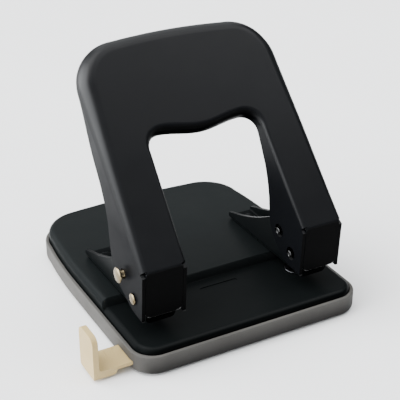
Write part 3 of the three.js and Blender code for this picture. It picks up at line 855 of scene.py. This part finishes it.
# ---------------------------------------------------------------- chip tray and paper guide
def tray_shell():
    lip, nick = 0.7, 0.15
    rings = [ring(-TRAY_OUT + TRAY_EDGE + 2.5, 0.0)]
    rings += [ring(-TRAY_OUT + TRAY_EDGE * b, TRAY_EDGE * a) for a, b in quarter_round(9)]
    rings += [ring(-TRAY_OUT + lip * a, TRAY_TOP - lip * b) for a, b in quarter_round(6)]
    rings += [ring(-TRAY_GAP - nick, TRAY_TOP), ring(-TRAY_GAP, TRAY_TOP - nick), ring(-TRAY_GAP, TRAY_LEDGE),
              ring(TRAY_POCKET, TRAY_LEDGE), ring(TRAY_POCKET, TRAY_FLOOR + 1.0),
              ring(TRAY_POCKET + 0.3, TRAY_FLOOR + 0.3), ring(TRAY_POCKET + 1.0, TRAY_FLOOR)]
    tray = loft("tray_shell", rings)

    play, slot_low, slot_high = 0.3, 2.9, 5.0
    slot = block("slot", (-62, GUIDE_Y[0] - play, slot_low), (-52, GUIDE_Y[1] + play, slot_high))
    boolean(tray, [slot])
    root, rail, rib = TRAY_FLOOR - 0.2, 1.4, 1.6
    front, rear = GUIDE_Y[0] - play - rail, GUIDE_Y[1] + play
    ribs = [block("rail", (-46, y, root), (32, y + rail, slot_high + play)) for y in (front, rear)]
    ribs += [block("rib", (x, front + 0.7, root), (x + rib, rear + 0.7, slot_low)) for x in (-36, 0, 28)]
    boolean(tray, ribs, "UNION")
    return soften(tray, 0.15, 60)


def guide_body():
    front, rear = GUIDE_Y
    outer, inner = -76.0, -73.4
    low, top, corner = 1.1, 21.8, 3.6
    bar_low, bar_top, bar_end = 3.2, 4.7, 30
    tab = [(front, low), (rear - 1.6, low)] + arc(rear - 1.2, low + 1.2, 1.2, -60, 0, 5)
    tab += arc(rear - corner, top - corner, corner, 0, 90, 12)
    tab += arc(front + corner, top - corner, corner, 90, 180, 12)
    body = prism("guide_body", tab, "X", outer, inner)

    foot = [(inner - 1, low), (inner + 6.4, low)] + arc(inner + 6.4, low + 2.0, 2.0, -80, 0, 8)
    foot += [(inner + 8.4, bar_low + 1), (inner - 1, bar_low + 1)]
    root = 1.4
    fillet = [(inner - 0.5, bar_top - 0.4), (inner + root, bar_top - 0.4)]
    fillet += arc(inner + root, bar_top + root, root, -90, -180, 8) + [(inner - 0.5, bar_top + root)]
    boolean(body, [block("bar", (inner - 1, front, bar_low), (bar_end, rear, bar_top)),
                   prism("foot", foot, "Y", front, rear), prism("fillet", fillet, "Y", front, rear)], "UNION")

    back, width = rear - 1.6, 0.45
    ticks = []
    for i in range(8):
        x = -66.0 + 4.0 * i
        length = 3.0 if i % 2 else 5.0
        ticks.append(block("tick", (x, back - length, bar_top - 0.2), (x + width, back, bar_top + 0.5)))
    boolean(body, ticks)
    return soften(body, 0.4, 50, 3)


finish_piece(tray_shell(), "tray_plastic", "chip_tray", "chip_tray")
finish_piece(guide_body(), "guide_plastic", "paper_guide", "paper_guide")


# ---------------------------------------------------------------- brackets, rivets and dies
def slot_outline():
    """The slot that follows a drive pin round the fulcrum, and reaches a little beyond both ends."""
    swing, beyond = 36.0, 1.7
    half = PIN + 0.45
    reach = math.dist(FULCRUM, DRIVE)
    rest = math.degrees(math.atan2(DRIVE[1] - FULCRUM[1], DRIVE[0] - FULCRUM[0]))
    high, low = rest + beyond, rest - (swing + beyond)
    top, bottom = (arc(*FULCRUM, reach, angle, angle, 1)[0] for angle in (high, low))
    points = arc(*FULCRUM, reach + half, low, high, 18)
    points += arc(*top, half, high, high + 180, 12)[1:]
    points += arc(*FULCRUM, reach - half, high, low, 18)[1:]
    points += arc(*bottom, half, low + 180, low + 360, 12)[1:-1]
    return points


def bracket_side():
    """(y, z) of a bracket seen from its side, with a tail that sweeps down to the rear."""
    rear, tail, crest = 16.2, WEB_BOTTOM + 2.6, 41.6
    points = [(-50, WEB_BOTTOM), (rear, WEB_BOTTOM), (rear, tail)]
    points += arc(rear - 1.6, tail, 1.6, 0, 80, 6)[1:]
    points += curve((rear - 1.6, tail + 1.8), (-6, 26.0), (-22, 35.6), 18)
    points += [(-28.5, crest - 1.2)]
    points += curve((-28.5, crest - 1.2), (-29.6, crest), (-31.5, crest), 6)
    points += [(-40.5, crest)]
    points += arc(*FULCRUM, 6.2, 118, 232, 20)
    points += [(-50, WEB_TOP)]
    return points


def channel(half, bottom, radius):
    """(x, z) of a U that is open upwards."""
    points = arc(-half + radius, bottom + radius, radius, 180, 270, 8)
    points += arc(half - radius, bottom + radius, radius, 270, 360, 8)
    return points + [(half, 60), (-half, 60)]


def bracket_shell(name, x):
    bend = 2.6
    body = prism(name, bracket_side(), "X", -BRACKET_HALF, BRACKET_HALF)
    boolean(body, [prism("outer", channel(BRACKET_HALF, WEB_BOTTOM, bend), "Y", -60, 30)], "INTERSECT")
    inner = channel(BRACKET_HALF - BRACKET_SHEET, WEB_TOP, bend - BRACKET_SHEET)
    tools = [
        prism("inner", inner, "Y", -60, 30),
        prism("slot", slot_outline(), "X", -20, 20),
        rod("pivot", "X", PIN + 0.3, -20, 20, FULCRUM),
        rod("guide", "Z", PUNCH_RADIUS + 0.35, 0, 60, (0, PUNCH_Y)),
    ]
    tools += [rod("rivet", "Z", RIVET_HOLE, 0, 30, (0, y), 28) for y in RIVET_Y.values()]
    boolean(body, tools)
    soften(body, 0.25, 45)
    return place(body, (x, 0, 0))


def rivet_body(name, x, y):
    foot, shank, flange, head = 13.3, 2.0, 2.9, 3.4
    seat = WEB_TOP + 0.3
    crown = seat + 0.25
    profile = [(0, foot), (flange - 0.2, foot), (flange, foot + 0.2), (flange, foot + 0.7),
               (flange - 0.2, foot + 0.9), (shank, foot + 0.9), (shank, seat), (head - 0.1, seat),
               (head, seat + 0.12)] + dome(head, crown, 1.25, 9)
    return place(lathe(name, profile), (x, y, 0))


def die_body(name, x):
    bore, bottom, flange, shank, seat = 2.95, 8.4, 6.5, 5.0, 10.3
    relief = bore + 0.25
    profile = [(relief, bottom), (flange - 0.2, bottom), (flange, bottom + 0.2), (flange, seat - 0.2),
               (flange - 0.2, seat), (shank, seat), (shank, TABLE_Z - 0.2), (shank - 0.2, TABLE_Z),
               (bore + 0.08, TABLE_Z), (bore, TABLE_Z - 0.1), (bore, bottom + 1.2), (relief, bottom + 1.0),
               (relief, bottom)]
    return place(lathe(name, profile, 56), (x, PUNCH_Y, 0))


# ---------------------------------------------------------------- punches, washers and springs
def punch_body(name, x):
    slot_half = PIN + 0.45
    head_half = slot_half + 2.1
    front, rear = -35.95, -33.65
    z = DRIVE[1]
    head = [(front - head_half, HEAD_BOTTOM), (rear + head_half, HEAD_BOTTOM)]
    head += arc(rear, z, head_half, 0, 90, 14) + arc(front, z, head_half, 90, 180, 14)
    body = prism(name, head, "X", -4.8, 4.8)
    opening = arc(rear, z, slot_half, -90, 90, 16) + arc(front, z, slot_half, 90, 270, 16)
    boolean(body, [prism("slot", opening, "X", -10, 10)])
    soften(body, 0.35, 45, 3)
    edge, top = 16.9, HEAD_BOTTOM + 1.2
    hollow = [(0, edge + 1.1), (1.2, edge + 0.85), (2.2, edge + 0.35), (PUNCH_RADIUS - 0.06, edge)]
    shaft = lathe("shaft", hollow + [(PUNCH_RADIUS, edge + 0.06), (PUNCH_RADIUS, top), (0, top)])
    boolean(body, [place(shaft, (0, PUNCH_Y, 0))], "UNION")
    return place(body, (x, 0, 0))


def washer_body(name, x):
    low, high = WASHER
    bore, rim, nick = 3.1, 5.2, 0.15
    profile = [(bore, low), (rim - nick, low), (rim, low + nick), (rim, high - nick), (rim - nick, high),
               (bore, high), (bore, low)]
    return place(lathe(name, profile), (x, PUNCH_Y, 0))


def spring_body(name, x):
    """A helix of round wire whose end coils close up."""
    wire, radius, turns, end_turns = 0.5, 4.4, 4.6, 0.9
    low, high = WEB_TOP + 0.85, WASHER[0] - 0.85
    steps, sides = 190, 12
    end = end_turns / turns
    closed = 2 * wire * end_turns * 1.02

    def height(t):
        if t < end:
            return low + closed * t / end
        if t > 1 - end:
            return high - closed * (1 - t) / end
        return lerp(low + closed, high - closed, (t - end) / (1 - 2 * end))

    rings = []
    for i in range(steps + 1):
        t = i / steps
        angle = 2 * PI * turns * t
        outward = Vector((math.cos(angle), math.sin(angle), 0))
        centre = outward * radius + Vector((0, 0, height(t)))
        rings.append([centre + outward * (wire * a) + Vector((0, 0, wire * b))
                      for a, b in arc(0, 0, 1, 0, 360, sides)[:-1]])
    return place(loft(name, rings), (x, PUNCH_Y, 0))


for side_name, sign in (("left", -1), ("right", 1)):
    x = sign * PUNCH_X
    bracket = f"{side_name}_bracket"
    punch = f"{side_name}_punch"
    washer = f"{side_name}_spring_washer"
    finish_piece(bracket_shell(f"{bracket}_shell", x), "bracket_paint", "base", bracket)
    for end_name, y in RIVET_Y.items():
        rivet = f"{side_name}_{end_name}_rivet"
        finish_piece(rivet_body(f"{rivet}_body", x, y), "bracket_paint", "base", rivet)
    finish_piece(die_body(f"{side_name}_die_ring", x), "tool_steel", "base", f"{side_name}_die")
    finish_piece(punch_body(f"{punch}_body", x), "tool_steel", punch, punch)
    finish_piece(washer_body(f"{side_name}_washer_body", x), "spring_steel", punch, washer)
    spring = spring_body(f"{side_name}_spring_coil", x)
    finish_piece(spring, "spring_steel", "base", f"{punch}_spring")
    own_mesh(spring)


# ---------------------------------------------------------------- pins
CLIP_END = -LEG_HALF - 0.3   # the lock pin's tail from here on holds its clip


def lay_pin(obj, sign, point):
    """Turns a pin made about Z so that its head points outward, and puts it on its axis."""
    turn = Matrix.Rotation(sign * PI / 2, 4, "Y")
    return place(obj, (sign * LEG_MIDDLE, *point), turn)


def short_pin(name, sign, point):
    end, seat, head, tail = -LEG_HALF - 1.0, LEG_HALF + 0.3, 2.75, 1.5
    neck = -LEG_HALF + 3.0
    profile = [(0, end + 0.9), (0.7, end + 0.8), (1.0, end + 0.1), (1.2, end), (tail, end + 0.3),
               (tail, neck), (PIN, neck + 0.3), (PIN, seat), (head - 0.15, seat), (head, seat + 0.15)]
    return lay_pin(lathe(name, profile + dome(head, seat + 0.3, 0.85, 8)), sign, point)


def lock_body(name):
    end = CLIP_END - 3.4
    knob = LEG_HALF + 2.1
    groove, neck, edge = 1.4, 2.0, 3.7
    profile = [(0, end), (PIN - 0.5, end), (PIN, end + 0.6), (PIN, CLIP_END - 1.9), (groove, CLIP_END - 1.9),
               (groove, CLIP_END - 0.7), (PIN, CLIP_END - 0.7), (PIN, LEG_HALF - 0.4), (neck, LEG_HALF - 0.2),
               (neck, knob), (edge - 0.4, knob), (edge - 0.15, knob + 0.1), (edge, knob + 0.3)]
    return lay_pin(lathe(name, profile + dome(edge, knob + 0.4, 1.1, 10), 64), -1, DRIVE)


def clip_body(name):
    mouth = 31
    outline = arc(0, 0, 4.0, mouth, 360 - mouth, 36) + arc(0, 0, 1.7, 360 - mouth, mouth, 28)
    body = prism(name, outline, "Z", CLIP_END - 1.6, CLIP_END - 1.0)
    soften(body, 0.08, 45)
    return lay_pin(body, -1, DRIVE)


for side_name, sign in (("left", -1), ("right", 1)):
    fulcrum_pin = f"{side_name}_fulcrum_pin"
    finish_piece(short_pin(f"{fulcrum_pin}_body", sign, FULCRUM), "pin_brass", "handle", fulcrum_pin)
finish_piece(short_pin("right_drive_pin_body", 1, DRIVE), "pin_brass", "handle", "right_drive_pin")
finish_piece(lock_body("lock_pin_body"), "pin_brass", "lock_pin", "lock_pin")
finish_piece(clip_body("lock_clip_body"), "spring_steel", "lock_pin", "lock_pin_clip")


# ---------------------------------------------------------------- stage, in metres
STUDIO_TINT = (0.96, 0.98, 1.0)
STUDIO_BASE = 0.12
# each lobe of the studio: direction, low and high end of its dot product, radiance at the high end
STUDIO_LOBES = [((-0.72, -0.1, 0.68), -0.2, 1.0, 1.3), ((0.0, 0.0, 1.0), 0.2, 1.0, 0.45),
                ((-0.90, 0.36, 0.24), 0.5, 1.0, 8.0)]
FLOOR_REACH = 4.0
FLOOR_GAP = 0.0004           # keeps the floor clear of the tray's underside
CAMERA_LENS = 97.26          # mm, for a sensor 36 mm wide
CAMERA_PLACE = (-0.21514, -0.40582, 0.28413)
CAMERA_DOWN = 0.4841         # radians below the horizon
CAMERA_TURN = -0.5009        # radians about Z


def floor():
    r = FLOOR_REACH
    mesh = bpy.data.meshes.new("floor")
    mesh.from_pydata([(-r, -r, 0), (r, -r, 0), (r, r, 0), (-r, r, 0)], [], [(0, 1, 2, 3)])
    obj = bpy.data.objects.new("floor", mesh)
    obj.location.z = -FLOOR_GAP
    bpy.context.scene.collection.objects.link(obj)
    n = new_material("floor_paper")
    colour = n.blend(n.spread(n.noise(6, 3), 0.3, 0.7, 0.0, 1.0), (0.86, 0.86, 0.86), (0.88, 0.88, 0.88))
    n.set(Base_Color=colour, Roughness=0.9, Specular_IOR_Level=0.1)
    mesh.materials.append(n.owner)
    return obj


def studio():
    """A world that is brighter towards each lobe."""
    n = Nodes(bpy.data.worlds.new("studio"), "Background")
    strength = STUDIO_BASE
    for lobe in STUDIO_LOBES:
        strength = n.math("ADD", strength, n.facing(*lobe, vector="Generated"))
    n.set(Color=STUDIO_TINT, Strength=strength)
    return n.owner


def area_light(name, direction, distance, size, radiance, colour=(1, 1, 1)):
    """A softbox in a direction from the object, with its power worked out from its radiance."""
    light = bpy.data.lights.new(name, "AREA")
    light.shape = "RECTANGLE"
    light.size, light.size_y = size
    light.energy = radiance * PI * size[0] * size[1]
    light.color = colour
    obj = bpy.data.objects.new(name, light)
    centre = Vector((0, 0, 0.05))
    obj.location = centre + Vector(direction).normalized() * distance
    obj.rotation_euler = (centre - obj.location).to_track_quat("-Z", "Y").to_euler()
    bpy.context.scene.collection.objects.link(obj)


def camera():
    """The camera that the photo's outlines were fitted with."""
    obj = bpy.data.objects.new("camera", bpy.data.cameras.new("camera"))
    obj.data.lens = CAMERA_LENS
    obj.data.sensor_width = 36
    obj.data.clip_start = 0.01
    obj.location = CAMERA_PLACE
    obj.rotation_euler = (PI / 2 - CAMERA_DOWN, 0, CAMERA_TURN)
    bpy.context.scene.collection.objects.link(obj)
    return obj


floor()
bpy.context.scene.world = studio()
area_light("face_box", (0.43, -0.10, 0.89), 1.4, (1.0, 1.25), 4.0, (0.98, 0.99, 1.0))
area_light("top_box", (-0.30, 0.20, 0.93), 1.4, (0.8, 0.8), 8.0)
area_light("rear_box", (0.42, 0.78, 0.47), 1.6, (1.2, 0.65), 0.5)
bpy.context.scene.camera = camera()
